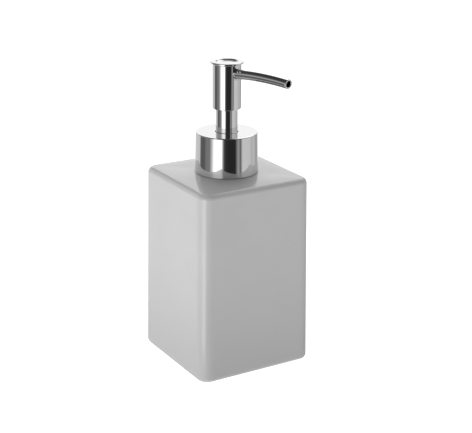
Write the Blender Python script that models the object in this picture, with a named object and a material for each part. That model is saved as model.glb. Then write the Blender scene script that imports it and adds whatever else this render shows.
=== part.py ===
"""A counter-top soap dispenser: a square glazed ceramic bottle with a chrome lift pump.

Run with: blender --background --python part.py
Metres, +Z up. The origin is the middle of the bottle's flat base.
The pump stands on the vertical axis, and its spout turns about that axis.
"""

import math

import bpy
import bmesh
from mathutils import Matrix, Vector

# Running and seating gaps
fit_gap = 0.0003
hidden_gap = 0.00025
stack_gap = 0.0002

# Ceramic bottle
bottle_width = 0.0650
bottle_height = 0.1010
draft_share = 0.020
dome_rise = 0.0006
edge_radius = 0.0062
rim_radius = 0.0020
foot_radius = 0.0024
ceramic_wall = 0.0045
floor_thickness = 0.0060
cavity_fillet = 0.0070
mouth_depth = 0.0060

# Neck insert, cemented into the mouth
washer_thickness = 0.0004
insert_wall = 0.0018
insert_depth = 0.0090
insert_flange_thickness = 0.0006
neck_room = 0.0057
neck_height = 0.0138
neck_lead = 0.0005
neck_step = 0.0005

# Pump cylinder and dip tube
gasket_thickness = 0.0010
cylinder_flange_thickness = 0.0012
barrel_wall = 0.00075
valve_cone_height = 0.0040
valve_wall = 0.0010
ball_seat_length = 0.0016
seat_hole_radius = 0.0017
tube_socket_length = 0.0085
dip_tube_radius = 0.0032
dip_tube_wall = 0.0008
dip_tube_foot_gap = 0.0030
dip_tube_cut_angle = math.radians(28)
inlet_ball_radius = 0.0025
outlet_ball_radius = 0.0020
ball_lift = 0.0012

# Threaded closure and its chrome shell
collar_sheet = 0.0005
collar_top_thickness = 0.0006
collar_edge = 0.0003
collar_clearance = 0.0006
closure_plate_thickness = 0.0012
closure_wall = 0.00125
thread_room = 0.0009

# Plunger: stroke, rod, piston and spring
stroke = 0.0110
stroke_spare = 0.0010
sleeve_engagement = 0.0030
sleeve_radius = 0.00565
sleeve_wall = 0.0005
rod_radius = 0.0032
rod_bore_radius = 0.0013
guide_wall = 0.00065
guide_floor = 0.0012
guide_flange_thickness = 0.0010
guide_flange_width = 0.00295
piston_height = 0.0070
piston_wall_share = 0.28
piston_lip = 0.0009
seat_flange_thickness = 0.0012
seat_spigot_length = 0.0035
seat_spigot_wall = 0.00055
spring_wire = 0.0011
spring_end_turns = 1
spring_active_turns = 5

# Head and spout
landing_gap = 0.0011
core_wall = 0.00075
head_height = 0.0232
head_sheet = 0.0005
head_lower_edge = 0.0006
core_recess = 0.0012
sleeve_socket_depth = 0.0040
cap_overhang = 0.0012
cap_thickness = 0.0011
cap_edge = 0.00045
cap_spigot_length = 0.0010
cap_dish = 0.00015
spout_drop = 0.0052
spout_radius = 0.0025
spout_wall = 0.0007
spout_start = 0.0030
spout_straight = 0.0076
spout_reach = 0.0428
spout_bend_radius = 0.2090
spout_rise = math.radians(5.2)
spout_azimuth = math.radians(-76)
seal_section = 0.0008

# How finely round shapes are divided
collar_sides = 56
head_sides = 44
inner_sides = 32
small_sides = 20
spring_points_per_turn = 12
corner_steps = 9
sharp_angle = math.radians(35)

# Modelling allowances: how far a cutter runs past a wall, and the distance that welds a seam
overrun = 0.0010
weld_distance = 0.0000002

# Radii that follow the chrome stem, from the pump's barrel out to the collar and the bottle's mouth
barrel_bore_radius = sleeve_radius + hidden_gap + guide_wall + fit_gap
barrel_radius = barrel_bore_radius + barrel_wall
guide_flange_radius = barrel_bore_radius + guide_flange_width
neck_radius = barrel_radius + neck_room
mouth_radius = neck_radius + neck_step + fit_gap
closure_bore_radius = neck_radius + thread_room
collar_radius = closure_bore_radius + closure_wall + fit_gap + collar_sheet
insert_flange_radius = collar_radius - collar_sheet - hidden_gap
core_face = sleeve_radius + hidden_gap + core_wall
head_radius = core_face + hidden_gap + head_sheet
cap_radius = head_radius + cap_overhang
chamber_radius = inlet_ball_radius + 2 * fit_gap
rod_mouth_radius = rod_bore_radius + spout_wall
coil_radius = barrel_bore_radius - hidden_gap - spring_wire
socket_radius = dip_tube_radius + hidden_gap
seal_outer = spout_radius + hidden_gap + seal_section
seal_middle = math.sqrt(core_face**2 - seal_outer**2) - seal_section / 2

# Lengths that follow the stroke and the two ball valves
spring_turns = spring_active_turns + 2 * spring_end_turns
spring_room = (spring_turns + 1) * spring_wire + stroke + stack_gap
exposed_stem = stroke + landing_gap
inlet_rest_rise = inlet_ball_radius * math.sqrt(2) - seat_hole_radius + stack_gap
inlet_chamber_length = inlet_rest_rise + ball_lift + inlet_ball_radius + stack_gap
outlet_rest_rise = outlet_ball_radius * math.sqrt(2) - rod_mouth_radius + stack_gap
outlet_chamber_length = outlet_rest_rise + ball_lift + outlet_ball_radius + spout_radius
seat_cone_rise = chamber_radius - seat_hole_radius

# Levels up the axis, each from the piece below it
mouth_level = bottle_height + dome_rise
washer_level = mouth_level + stack_gap
insert_level = washer_level + washer_thickness + stack_gap
ring_level = insert_level + insert_flange_thickness + stack_gap
collar_level = mouth_level + collar_clearance
neck_top = insert_level + insert_flange_thickness + neck_height
gasket_level = neck_top + stack_gap
flange_level = gasket_level + gasket_thickness + stack_gap
guide_level = flange_level + cylinder_flange_thickness + stack_gap
closure_plate_level = guide_level + guide_flange_thickness + stack_gap
collar_ceiling = closure_plate_level + closure_plate_thickness + stack_gap
collar_top = collar_ceiling + collar_top_thickness
sleeve_foot = collar_top - sleeve_engagement
guide_floor_top = sleeve_foot - stroke - stroke_spare
piston_top = guide_floor_top - guide_floor - stack_gap
piston_foot = piston_top - piston_height
seat_level = piston_foot - stack_gap - seat_flange_thickness
spring_top = seat_level - stack_gap
spring_foot = spring_top - spring_room
ledge_level = spring_foot - stack_gap
head_level = collar_top + exposed_stem
core_level = head_level + core_recess
cap_level = head_level + head_height + stack_gap
spout_level = cap_level - spout_drop
rod_foot = seat_level + seat_flange_thickness + fit_gap
rod_socket_depth = spout_level - core_level - outlet_chamber_length
rod_top = core_level + rod_socket_depth - fit_gap
chamber_floor = ledge_level - valve_cone_height - inlet_chamber_length
socket_top = chamber_floor - ball_seat_length
cylinder_foot = socket_top - tube_socket_length
dip_tube_top = socket_top - fit_gap
dip_tube_foot = floor_thickness + dip_tube_foot_gap


def clear_scene():
    for found in list(bpy.data.objects):
        bpy.data.objects.remove(found, do_unlink=True)


def material(name, colour, roughness, metallic=0.0, coat=0.0):
    made = bpy.data.materials.new(name)
    made.use_nodes = True
    shader = made.node_tree.nodes["Principled BSDF"]
    shader.inputs["Base Color"].default_value = (*colour, 1.0)
    shader.inputs["Roughness"].default_value = roughness
    shader.inputs["Metallic"].default_value = metallic
    shader.inputs["Coat Weight"].default_value = coat
    made.diffuse_color = (*colour, 1.0)
    return made


def empty(name, level, parent=None, turn=0.0):
    """A joint's place on the axis, which the pieces of one body hang on."""
    made = bpy.data.objects.new(name, None)
    bpy.context.scene.collection.objects.link(made)
    made["level"] = level
    made.rotation_euler.z = turn
    if parent:
        made.parent = parent
    made.location.z = level - (parent["level"] if parent else 0.0)
    return made


def piece(name, mesh, finish, parent, level):
    """One object, with its own origin on the axis at its level."""
    made = bpy.data.objects.new(name, mesh)
    bpy.context.scene.collection.objects.link(made)
    mesh.materials.append(finish)
    made.parent = parent
    made.location.z = level - parent["level"]
    return made


def finished_mesh(name, shape):
    bmesh.ops.remove_doubles(shape, verts=shape.verts, dist=weld_distance)
    bmesh.ops.recalc_face_normals(shape, faces=shape.faces)
    mesh = bpy.data.meshes.new(name)
    shape.to_mesh(mesh)
    shape.free()
    mesh.shade_smooth()
    mesh.set_sharp_from_angle(angle=sharp_angle)
    return mesh


def arc(radius, height, bend, start, stop, steps=4):
    """Points of a turned outline round (radius, height), from one angle to another in degrees."""
    points = []
    for step in range(steps + 1):
        angle = math.radians(start + (stop - start) * step / steps)
        points.append((radius + bend * math.cos(angle), height + bend * math.sin(angle)))
    return points


def turned(name, outline, sides):
    """A closed outline of (radius, height) points, spun once round the axis."""
    shape = bmesh.new()
    points = [shape.verts.new((radius, 0, height)) for radius, height in outline]
    edges = []
    for here, following in zip(points, points[1:] + points[:1]):
        edges.append(shape.edges.new((here, following)))
    bmesh.ops.spin(
        shape,
        geom=points + edges,
        cent=(0, 0, 0),
        axis=(0, 0, 1),
        angle=math.tau,
        steps=sides,
        use_merge=True,
    )
    loose = [edge for edge in shape.edges if not edge.link_faces]
    bmesh.ops.delete(shape, geom=loose, context="EDGES")
    return finished_mesh(name, shape)


def ball(name, radius):
    shape = bmesh.new()
    bmesh.ops.create_uvsphere(shape, u_segments=small_sides, v_segments=small_sides // 2, radius=radius)
    return finished_mesh(name, shape)


def swept_tube(name, path, outer, bore, sides):
    """A hollow tube along (place, direction) pairs that lie in the XZ plane."""
    shape = bmesh.new()

    def ring(place, direction, radius):
        side = Vector((0, 1, 0))
        up = side.cross(direction) * -1
        verts = []
        for index in range(sides):
            angle = math.tau * index / sides
            offset = side * math.cos(angle) + up * math.sin(angle)
            verts.append(shape.verts.new(place + offset * radius))
        return verts

    def bridge(first, second):
        for index in range(sides):
            after = (index + 1) % sides
            shape.faces.new((first[index], first[after], second[after], second[index]))

    outside = [ring(place, direction, outer) for place, direction in path]
    inside = [ring(place, direction, bore) for place, direction in path]
    for first, second in zip(outside, outside[1:]):
        bridge(first, second)
    for first, second in zip(inside, inside[1:]):
        bridge(second, first)
    bridge(inside[0], outside[0])
    bridge(outside[-1], inside[-1])
    return finished_mesh(name, shape)


def cutter(name, radius, start, length, parent, level):
    """A hidden cylinder along the spout's axis, which cuts its holes."""
    shape = bmesh.new()
    bmesh.ops.create_cone(
        shape,
        cap_ends=True,
        segments=small_sides,
        radius1=radius,
        radius2=radius,
        depth=length,
    )
    bmesh.ops.translate(shape, verts=shape.verts, vec=(0, 0, start + length / 2))
    bmesh.ops.rotate(shape, verts=shape.verts, matrix=Matrix.Rotation(math.pi / 2 - spout_rise, 3, "Y"))
    mesh = finished_mesh(name, shape)
    made = bpy.data.objects.new(name, mesh)
    bpy.context.scene.collection.objects.link(made)
    made.parent = parent
    made.location.z = level - parent["level"]
    made.hide_render = True
    made.display_type = "WIRE"
    return made


def cut(target, tool):
    change = target.modifiers.new(tool.name, "BOOLEAN")
    change.operation = "DIFFERENCE"
    change.solver = "EXACT"
    change.object = tool


def rounded_square(half, radius, height):
    """One level of the bottle: a square ring with round corners, corner_steps to a quarter."""
    points = []
    for quarter in range(4):
        middle = half - radius
        centre = Matrix.Rotation(quarter * math.pi / 2, 2) @ Vector((middle, middle))
        for step in range(corner_steps):
            angle = quarter * math.pi / 2 + (math.pi / 2) * step / (corner_steps - 1)
            points.append((centre.x + radius * math.cos(angle), centre.y + radius * math.sin(angle), height))
    return points


def mouth_circle(radius, height):
    """A round level with as many points as a square one, so that the two can be joined."""
    count = 4 * corner_steps
    points = []
    for index in range(count):
        angle = math.tau * (index + 0.5) / count
        points.append((radius * math.cos(angle), radius * math.sin(angle), height))
    return points


def blend_ring(first, second, share, height):
    mixed = []
    for here, there in zip(first, second):
        mixed.append((here[0] + (there[0] - here[0]) * share, here[1] + (there[1] - here[1]) * share, height))
    return mixed


def ceramic_bottle_mesh():
    """Slip-cast body: slightly wider at the foot, soft rim, low dome, round mouth, hollow inside."""
    base_half = bottle_width / 2 * (1 + draft_share)
    rim_half = bottle_width / 2 * (1 - draft_share)

    def half_at(height):
        return base_half + (rim_half - base_half) * height / bottle_height

    levels = []
    fillet_steps = 4
    for step in range(fillet_steps + 1):
        angle = math.pi / 2 * step / fillet_steps
        inset = foot_radius * (1 - math.sin(angle))
        height = foot_radius * (1 - math.cos(angle))
        levels.append(rounded_square(half_at(height) - inset, edge_radius - inset, height))
    for step in range(fillet_steps + 1):
        angle = math.pi / 2 * step / fillet_steps
        inset = rim_radius * (1 - math.cos(angle))
        height = bottle_height - rim_radius + rim_radius * math.sin(angle)
        levels.append(rounded_square(half_at(height) - inset, edge_radius - inset, height))
    rim = levels[-1]
    mouth = mouth_circle(mouth_radius, mouth_level)
    dome_shares = (0.25, 0.55, 0.80)
    for share in dome_shares:
        height = bottle_height + dome_rise * (1 - (1 - share) ** 2)
        levels.append(blend_ring(rim, mouth, share, height))
    levels.append(mouth)
    ceiling = mouth_level - mouth_depth
    levels.append(mouth_circle(mouth_radius, ceiling))
    inner_radius = edge_radius
    for step in range(fillet_steps + 1):
        angle = math.pi / 2 * step / fillet_steps
        inset = cavity_fillet * (1 - math.sin(angle))
        height = ceiling - cavity_fillet * (1 - math.cos(angle))
        half = half_at(height) - ceramic_wall - inset
        levels.append(rounded_square(half, inner_radius, height))
    for step in range(fillet_steps + 1):
        angle = math.pi / 2 * step / fillet_steps
        inset = cavity_fillet * (1 - math.cos(angle))
        height = floor_thickness + cavity_fillet * (1 - math.sin(angle))
        half = half_at(height) - ceramic_wall - inset
        levels.append(rounded_square(half, inner_radius, height))

    shape = bmesh.new()
    rings = [[shape.verts.new(point) for point in level] for level in levels]
    count = len(rings[0])
    for lower, upper in zip(rings, rings[1:]):
        for index in range(count):
            after = (index + 1) % count
            shape.faces.new((lower[index], lower[after], upper[after], upper[index]))
    shape.faces.new(list(reversed(rings[0])))
    shape.faces.new(rings[-1])
    return finished_mesh("ceramic_bottle", shape)


def neck_washer_mesh():
    outer = insert_flange_radius - fit_gap
    inner = mouth_radius + fit_gap
    outline = [(inner, 0), (inner, washer_thickness), (outer, washer_thickness), (outer, 0)]
    return turned("neck_washer", outline, inner_sides)


def neck_insert_mesh():
    """Moulded bush: a sleeve down into the mouth, a thin flange inside the shell, and the neck above."""
    sleeve = mouth_radius - fit_gap
    bore = sleeve - insert_wall
    neck_end = insert_flange_thickness + neck_height
    outline = [
        (bore, -insert_depth),
        (bore, neck_end),
        (neck_radius - neck_lead, neck_end),
        (neck_radius, neck_end - neck_lead),
        (neck_radius, insert_flange_thickness),
        (insert_flange_radius, insert_flange_thickness),
        (insert_flange_radius, 0),
        (sleeve, 0),
        (sleeve, neck_lead - insert_depth),
        (sleeve - neck_lead, -insert_depth),
    ]
    return turned("neck_insert", outline, head_sides)


def closure_gasket_mesh():
    inner = barrel_radius + hidden_gap
    outer = neck_radius - neck_lead
    outline = [(inner, 0), (inner, gasket_thickness), (outer, gasket_thickness), (outer, 0)]
    return turned("closure_gasket", outline, inner_sides)


def pump_cylinder_mesh():
    """The fixed housing: flange, barrel, cone to the ball valve, and the dip tube's socket."""
    valve = chamber_radius + valve_wall
    socket_outer = socket_radius + valve_wall
    top = cylinder_flange_thickness
    ledge = ledge_level - flange_level
    cone_foot = ledge - valve_cone_height
    chamber_end = chamber_floor - flange_level
    seat_end = socket_top - flange_level
    foot = cylinder_foot - flange_level
    snap_lip = inlet_ball_radius - hidden_gap
    outline = [
        (neck_radius, 0),
        (barrel_radius, 0),
        (barrel_radius, ledge - barrel_wall),
        (valve, cone_foot - barrel_wall),
        (valve, seat_end + valve_wall),
        (socket_outer, seat_end),
        (socket_outer, foot + valve_wall),
        (socket_outer - valve_wall / 2, foot),
        (socket_radius, foot),
        (socket_radius, seat_end),
        (seat_hole_radius, seat_end),
        (seat_hole_radius, chamber_end),
        (chamber_radius, chamber_end + seat_cone_rise),
        (chamber_radius, cone_foot - valve_wall),
        (snap_lip, cone_foot),
        (snap_lip, cone_foot + valve_wall),
        (barrel_bore_radius - spring_wire * 2, ledge),
        (barrel_bore_radius, ledge),
        (barrel_bore_radius, top),
        (neck_radius, top),
    ]
    return turned("pump_cylinder", outline, inner_sides)


def dip_tube_mesh():
    """A plain extruded tube, its foot cut at a slant so that the floor can't close it."""
    length = dip_tube_top - dip_tube_foot
    bore = dip_tube_radius - dip_tube_wall
    outline = [(bore, 0), (bore, length), (dip_tube_radius, length), (dip_tube_radius, 0)]
    mesh = turned("dip_tube", outline, small_sides)
    for vertex in mesh.vertices:
        if vertex.co.z < length / 2:
            vertex.co.z += (vertex.co.x + dip_tube_radius) * math.tan(dip_tube_cut_angle)
    return mesh


def stem_guide_mesh():
    """Cup pushed into the barrel: it guides the sleeve and the rod and holds the piston down."""
    outer = barrel_bore_radius - fit_gap
    inner = outer - guide_wall
    floor_top = guide_floor_top - guide_level
    floor_foot = floor_top - guide_floor
    rod_hole = rod_radius + fit_gap
    outline = [
        (guide_flange_radius, 0),
        (outer, 0),
        (outer, floor_foot),
        (rod_hole, floor_foot),
        (rod_hole, floor_top),
        (inner, floor_top),
        (inner, guide_flange_thickness),
        (guide_flange_radius, guide_flange_thickness),
    ]
    return turned("stem_guide", outline, inner_sides)


def collar_shell_mesh():
    """Deep-drawn chrome cup with a crisp flat top and a hole for the stem."""
    inner = collar_radius - collar_sheet
    height = collar_top - collar_level
    hole = sleeve_radius + fit_gap
    ceiling = height - collar_top_thickness
    outline = [
        (collar_radius, 0),
        (inner, 0),
        (inner, ceiling),
        (hole, ceiling),
        (hole, height),
        *reversed(arc(collar_radius - collar_edge, height - collar_edge, collar_edge, 0, 90, 3)),
    ]
    return turned("collar_shell", outline, collar_sides)


def closure_ring_mesh():
    """Moulded screw cap inside the shell: it clamps the pump's flange on the neck."""
    outer = closure_bore_radius + closure_wall
    bore = closure_bore_radius
    plate_foot = closure_plate_level - collar_level
    plate_top = plate_foot + closure_plate_thickness
    foot = ring_level - collar_level
    hole = sleeve_radius + 2 * fit_gap
    outline = [
        (outer, foot),
        (bore, foot),
        (bore, plate_foot),
        (hole, plate_foot),
        (hole, plate_top),
        (outer, plate_top),
    ]
    return turned("closure_ring", outline, head_sides)


def piston_mesh():
    """Soft plastic piston: a lip up and a lip down on a thin waist."""
    lip_radius = barrel_bore_radius - hidden_gap
    bore = rod_radius + hidden_gap
    wall = (lip_radius - bore) * piston_wall_share
    waist = lip_radius - wall
    lip_foot = piston_height - piston_lip
    web = piston_height / 2
    outline = [
        (bore, 0),
        (bore, piston_height),
        (bore + wall, piston_height),
        (bore + wall, web + piston_lip),
        (waist - wall, web + piston_lip),
        (lip_radius - wall / 2, piston_height),
        (lip_radius, lip_foot),
        (waist, web),
        (lip_radius, piston_lip),
        (lip_radius - wall / 2, 0),
        (waist - wall, web - piston_lip),
        (bore + wall, web - piston_lip),
        (bore + wall, 0),
    ]
    return turned("piston", outline, inner_sides)


def piston_seat_mesh():
    """Plug under the piston: the spring lifts it, and its hollow spigot holds the rod's foot."""
    spigot = rod_bore_radius + hidden_gap + seat_spigot_wall
    bore = spigot - seat_spigot_wall
    flange = coil_radius + spring_wire / 2
    top = seat_flange_thickness + fit_gap + seat_spigot_length
    outline = [
        (bore, 0),
        (bore, top),
        (spigot, top),
        (spigot, seat_flange_thickness),
        (flange, seat_flange_thickness),
        (flange, 0),
    ]
    return turned("piston_seat", outline, small_sides)


def piston_rod_mesh():
    """Hollow stem from the piston's seat to the head's core."""
    length = rod_top - rod_foot
    socket = rod_bore_radius + 2 * hidden_gap + seat_spigot_wall
    socket_end = seat_spigot_length + hidden_gap
    outline = [
        (socket, 0),
        (socket, socket_end),
        (rod_bore_radius, socket_end),
        (rod_bore_radius, length - (rod_mouth_radius - rod_bore_radius)),
        (rod_mouth_radius, length),
        (rod_radius, length),
        (rod_radius, 0),
    ]
    return turned("piston_rod", outline, small_sides)


def return_spring_mesh():
    """Round steel wire: a flat turn at each end and open turns between, as one helix."""
    end_pitch = spring_wire + 2 * fit_gap
    rise = spring_room - spring_wire
    active_pitch = (rise - 2 * spring_end_turns * end_pitch) / spring_active_turns
    line = bpy.data.curves.new("return_spring", "CURVE")
    line.dimensions = "3D"
    line.bevel_depth = spring_wire / 2
    line.bevel_resolution = 1
    line.use_fill_caps = True
    spline = line.splines.new("POLY")
    count = spring_turns * spring_points_per_turn
    spline.points.add(count)
    for index in range(count + 1):
        turn = index / spring_points_per_turn
        low_turns = min(turn, spring_end_turns)
        high_turns = max(turn - spring_end_turns - spring_active_turns, 0)
        middle_turns = turn - low_turns - high_turns
        height = spring_wire / 2 + (low_turns + high_turns) * end_pitch + middle_turns * active_pitch
        angle = math.tau * turn
        spline.points[index].co = (coil_radius * math.cos(angle), coil_radius * math.sin(angle), height, 1)
    return line


def stem_sleeve_mesh():
    """Chrome tube round the rod, from inside the guide up into the head."""
    length = core_level + sleeve_socket_depth - fit_gap - sleeve_foot
    inner = sleeve_radius - sleeve_wall
    outline = [(inner, 0), (inner, length), (sleeve_radius, length), (sleeve_radius, 0)]
    return turned("stem_sleeve", outline, head_sides)


def head_core_mesh():
    """Moulded plug inside the head, with sockets for the sleeve, the rod and the spout."""
    top = cap_level - cap_spigot_length - fit_gap - core_level
    groove_outer = sleeve_radius + hidden_gap
    groove_inner = sleeve_radius - sleeve_wall - hidden_gap
    rod_hole = rod_radius + hidden_gap
    chamber = outlet_ball_radius + 2 * fit_gap
    chamber_top = spout_level - core_level
    outline = [
        (core_face, 0),
        (groove_outer, 0),
        (groove_outer, sleeve_socket_depth),
        (groove_inner, sleeve_socket_depth),
        (groove_inner, 0),
        (rod_hole, 0),
        (rod_hole, rod_socket_depth),
        (chamber, rod_socket_depth),
        (chamber, chamber_top),
        (0, chamber_top),
        (0, top),
        (core_face, top),
    ]
    return turned("head_core", outline, inner_sides)


def head_shell_mesh():
    """Drawn chrome barrel of the head, its lower edge rolled in round the stem."""
    hole = sleeve_radius + fit_gap
    inner = head_radius - head_sheet
    outline = [
        (hole, head_sheet),
        (hole, 0),
        *arc(head_radius - head_lower_edge, head_lower_edge, head_lower_edge, -90, 0, 4),
        (head_radius, head_height),
        (inner, head_height),
        (inner, head_lower_edge),
        (head_radius - head_lower_edge, head_sheet),
    ]
    return turned("head_shell", outline, head_sides)


def top_cap_mesh():
    """Push pad: a thin chrome disc a little wider than the head, with a spigot under it."""
    spigot = head_radius - head_sheet - hidden_gap
    middle = cap_thickness / 2
    outline = [
        (0, -cap_spigot_length),
        (spigot, -cap_spigot_length),
        (spigot, 0),
        *arc(cap_radius - cap_edge, cap_edge, cap_edge, -90, 0, 2),
        *arc(cap_radius - cap_edge, cap_thickness - cap_edge, cap_edge, 0, 90, 2),
        (cap_radius - middle - cap_edge, cap_thickness - cap_dish),
        (0, cap_thickness - cap_dish),
    ]
    return turned("top_cap", outline, head_sides)


def spout_tube_mesh():
    """Chrome tube: straight out of the head at a slight rise, then one long easy bend down."""
    forward = Vector((math.cos(spout_rise), 0, math.sin(spout_rise)))
    bend_length = spout_reach - spout_start - spout_straight
    bend_steps = 8
    path = [(forward * spout_start, forward)]
    corner = forward * (spout_start + spout_straight)
    for step in range(bend_steps + 1):
        turn = bend_length / spout_bend_radius * step / bend_steps
        along = spout_bend_radius * math.sin(turn)
        drop = spout_bend_radius * (1 - math.cos(turn))
        downward = Vector((math.sin(spout_rise), 0, -math.cos(spout_rise)))
        place = corner + forward * along + downward * drop
        path.append((place, forward * math.cos(turn) + downward * math.sin(turn)))
    return swept_tube("spout_tube", path, spout_radius, spout_radius - spout_wall, small_sides)


def spout_seal_mesh():
    """Rubber ring round the spout, in a groove of the core behind the shell."""
    section = seal_section / 2
    outline = arc(seal_outer - section, 0, section, 0, 315, 7)
    mesh = turned("spout_seal", outline, small_sides)
    turn = Matrix.Rotation(math.pi / 2 - spout_rise, 4, "Y")
    mesh.transform(turn @ Matrix.Translation((0, 0, seal_middle)))
    return mesh


clear_scene()

ceramic = material("glazed_ceramic", (0.72, 0.72, 0.72), 0.12, coat=0.6)
chrome = material("chrome", (0.82, 0.82, 0.83), 0.04, metallic=1.0)
white_plastic = material("white_plastic", (0.80, 0.80, 0.78), 0.40)
clear_plastic = material("milky_plastic", (0.86, 0.87, 0.86), 0.30)
rubber = material("rubber", (0.05, 0.05, 0.05), 0.70)
steel = material("spring_steel", (0.60, 0.60, 0.62), 0.25, metallic=1.0)

# Bottle: what stays on the counter
bottle_body = empty("bottle_body", 0.0)
piece("ceramic_bottle", ceramic_bottle_mesh(), ceramic, bottle_body, 0.0)
piece("neck_washer", neck_washer_mesh(), rubber, bottle_body, washer_level)
piece("neck_insert", neck_insert_mesh(), white_plastic, bottle_body, insert_level)

# Pump body: lifts out of the neck for refilling
pump_body = empty("pump_body", flange_level, bottle_body)
piece("closure_gasket", closure_gasket_mesh(), rubber, pump_body, gasket_level)
piece("pump_cylinder", pump_cylinder_mesh(), white_plastic, pump_body, flange_level)
piece("dip_tube", dip_tube_mesh(), clear_plastic, pump_body, dip_tube_foot)
piece("stem_guide", stem_guide_mesh(), white_plastic, pump_body, guide_level)

# Collar: turns to unscrew
collar_body = empty("collar_body", collar_level, pump_body)
piece("collar_shell", collar_shell_mesh(), chrome, collar_body, collar_level)
piece("closure_ring", closure_ring_mesh(), white_plastic, collar_body, collar_level)

# Inlet valve: a loose ball over its seat
inlet_body = empty("inlet_valve", chamber_floor, pump_body)
piece("inlet_ball", ball("inlet_ball", inlet_ball_radius), steel, inlet_body, chamber_floor + inlet_rest_rise)

# Plunger: the parts that travel down and up but need not turn
plunger_body = empty("plunger_body", piston_foot, pump_body)
piece("piston", piston_mesh(), clear_plastic, plunger_body, piston_foot)
piece("return_spring", return_spring_mesh(), steel, plunger_body, spring_foot)

# Head: travels with the plunger and swivels about the axis
head_body = empty("head_body", head_level, plunger_body, spout_azimuth)
piece("piston_seat", piston_seat_mesh(), white_plastic, head_body, seat_level)
piece("piston_rod", piston_rod_mesh(), white_plastic, head_body, rod_foot)
piece("stem_sleeve", stem_sleeve_mesh(), chrome, head_body, sleeve_foot)
head_core = piece("head_core", head_core_mesh(), white_plastic, head_body, core_level)
head_shell = piece("head_shell", head_shell_mesh(), chrome, head_body, head_level)
piece("top_cap", top_cap_mesh(), chrome, head_body, cap_level)
piece("spout_tube", spout_tube_mesh(), chrome, head_body, spout_level)
piece("spout_seal", spout_seal_mesh(), rubber, head_body, spout_level)

# The spout's holes through the shell and into the core
spout_hole = spout_radius + hidden_gap
seal_hole = seal_outer + hidden_gap
hole_length = head_radius + overrun
groove_start = seal_middle - seal_section / 2 - hidden_gap
groove_length = hole_length - groove_start
cut(head_shell, cutter("spout_shell_cutter", spout_hole, 0.0, hole_length, head_body, spout_level))
cut(head_core, cutter("spout_core_cutter", spout_hole, 0.0, hole_length, head_body, spout_level))
cut(head_core, cutter("seal_groove_cutter", seal_hole, groove_start, groove_length, head_body, spout_level))

# Outlet valve: a loose ball on the rod's mouth
outlet_body = empty("outlet_valve", rod_top, head_body)
piece("outlet_ball", ball("outlet_ball", outlet_ball_radius), steel, outlet_body, rod_top + outlet_rest_rise)
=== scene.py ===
import math

import bmesh
import bpy
from mathutils import Matrix, Vector


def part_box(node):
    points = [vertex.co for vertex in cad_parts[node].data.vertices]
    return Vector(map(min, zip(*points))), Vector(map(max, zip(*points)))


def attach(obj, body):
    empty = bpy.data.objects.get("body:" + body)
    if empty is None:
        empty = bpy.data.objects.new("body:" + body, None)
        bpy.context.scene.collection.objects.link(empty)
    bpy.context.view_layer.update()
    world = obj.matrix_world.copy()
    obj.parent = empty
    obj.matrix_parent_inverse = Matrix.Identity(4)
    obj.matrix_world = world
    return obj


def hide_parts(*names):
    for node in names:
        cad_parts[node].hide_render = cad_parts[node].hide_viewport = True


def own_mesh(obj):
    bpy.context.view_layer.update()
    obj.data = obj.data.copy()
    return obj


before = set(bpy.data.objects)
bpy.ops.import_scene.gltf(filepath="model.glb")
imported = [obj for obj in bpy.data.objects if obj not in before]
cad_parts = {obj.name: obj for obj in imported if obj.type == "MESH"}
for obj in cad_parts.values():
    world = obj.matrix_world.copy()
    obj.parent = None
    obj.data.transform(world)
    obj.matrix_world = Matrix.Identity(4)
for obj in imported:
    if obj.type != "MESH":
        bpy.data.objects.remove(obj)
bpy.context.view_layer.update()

# The bottle is slip-cast white clay under a clear glaze, so it reads as a soft pale grey.
# Its four sides lean in a little towards the rim, and the shallow top rises to a round mouth.
# The foot is wiped clean of glaze before firing, so bare clay shows where it stands.
_, bottle_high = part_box("ceramic_bottle")
foot_half = bottle_high.x
draft_share = 0.02
rim_half = foot_half * (1 - draft_share) / (1 + draft_share)
dome_rise = 0.0006
dome_ease = 3
dome_steps = 12
rim_height = bottle_high.z - dome_rise
corner_radius = 0.0062
rim_radius = 0.0029
foot_radius = 0.0024
edge_steps = 10
foot_steps = 8
lip_steps = 5
fillet_steps = 6
foot_ring_width = 0.0048
foot_recess = 0.0007
ceramic_wall = 0.0045
cavity_floor = 0.0060
cavity_fillet = 0.0070
mouth_radius = 0.0141
mouth_depth = 0.0060
mouth_lip = 0.0004
weld_distance = 1e-7
thin_glaze_tone = (0.785, 0.785, 0.785)
thick_glaze_tone = (0.810, 0.810, 0.810)
# Painted shade: the glaze colour is made darker below the given height, towards the foot, where less light
# reaches the sides.
foot_shade_tone = (0.700, 0.700, 0.700)
foot_shade_height = 0.075
iron_speck_tone = (0.33, 0.32, 0.31)
iron_speck_share = 0.25
bare_clay_tone = (0.62, 0.58, 0.53)
bare_clay_roughness = 0.85
bare_clay_heights = (0.0003, 0.0008)
glaze_roughness = (0.035, 0.065)


def quarter(steps):
    """Angles from 0 to a right angle."""
    return [math.pi / 2 * step / steps for step in range(steps + 1)]


def rounded_square(half, radius, height, side_steps=10, corner_steps=12):
    """A level ring of points round a square with round corners, starting in the middle of a side."""
    flat = half - radius
    points = []
    for quarter_index in range(4):
        turn = Matrix.Rotation(quarter_index * math.pi / 2, 3, "Z")
        for step in range(side_steps):
            points.append(turn @ Vector((half, flat * step / side_steps, height)))
        for angle in quarter(corner_steps)[:-1]:
            points.append(turn @ Vector((
                flat + radius * math.cos(angle), flat + radius * math.sin(angle), height,
            )))
        for step in range(side_steps):
            points.append(turn @ Vector((flat - flat * step / side_steps, half, height)))
    return points


def ring_inside(ring, radius, height):
    """A level circle whose points lie straight inward from those of another ring."""
    level = Vector((0, 0, height))
    return [Vector((point.x, point.y, 0)).normalized() * radius + level for point in ring]


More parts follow.
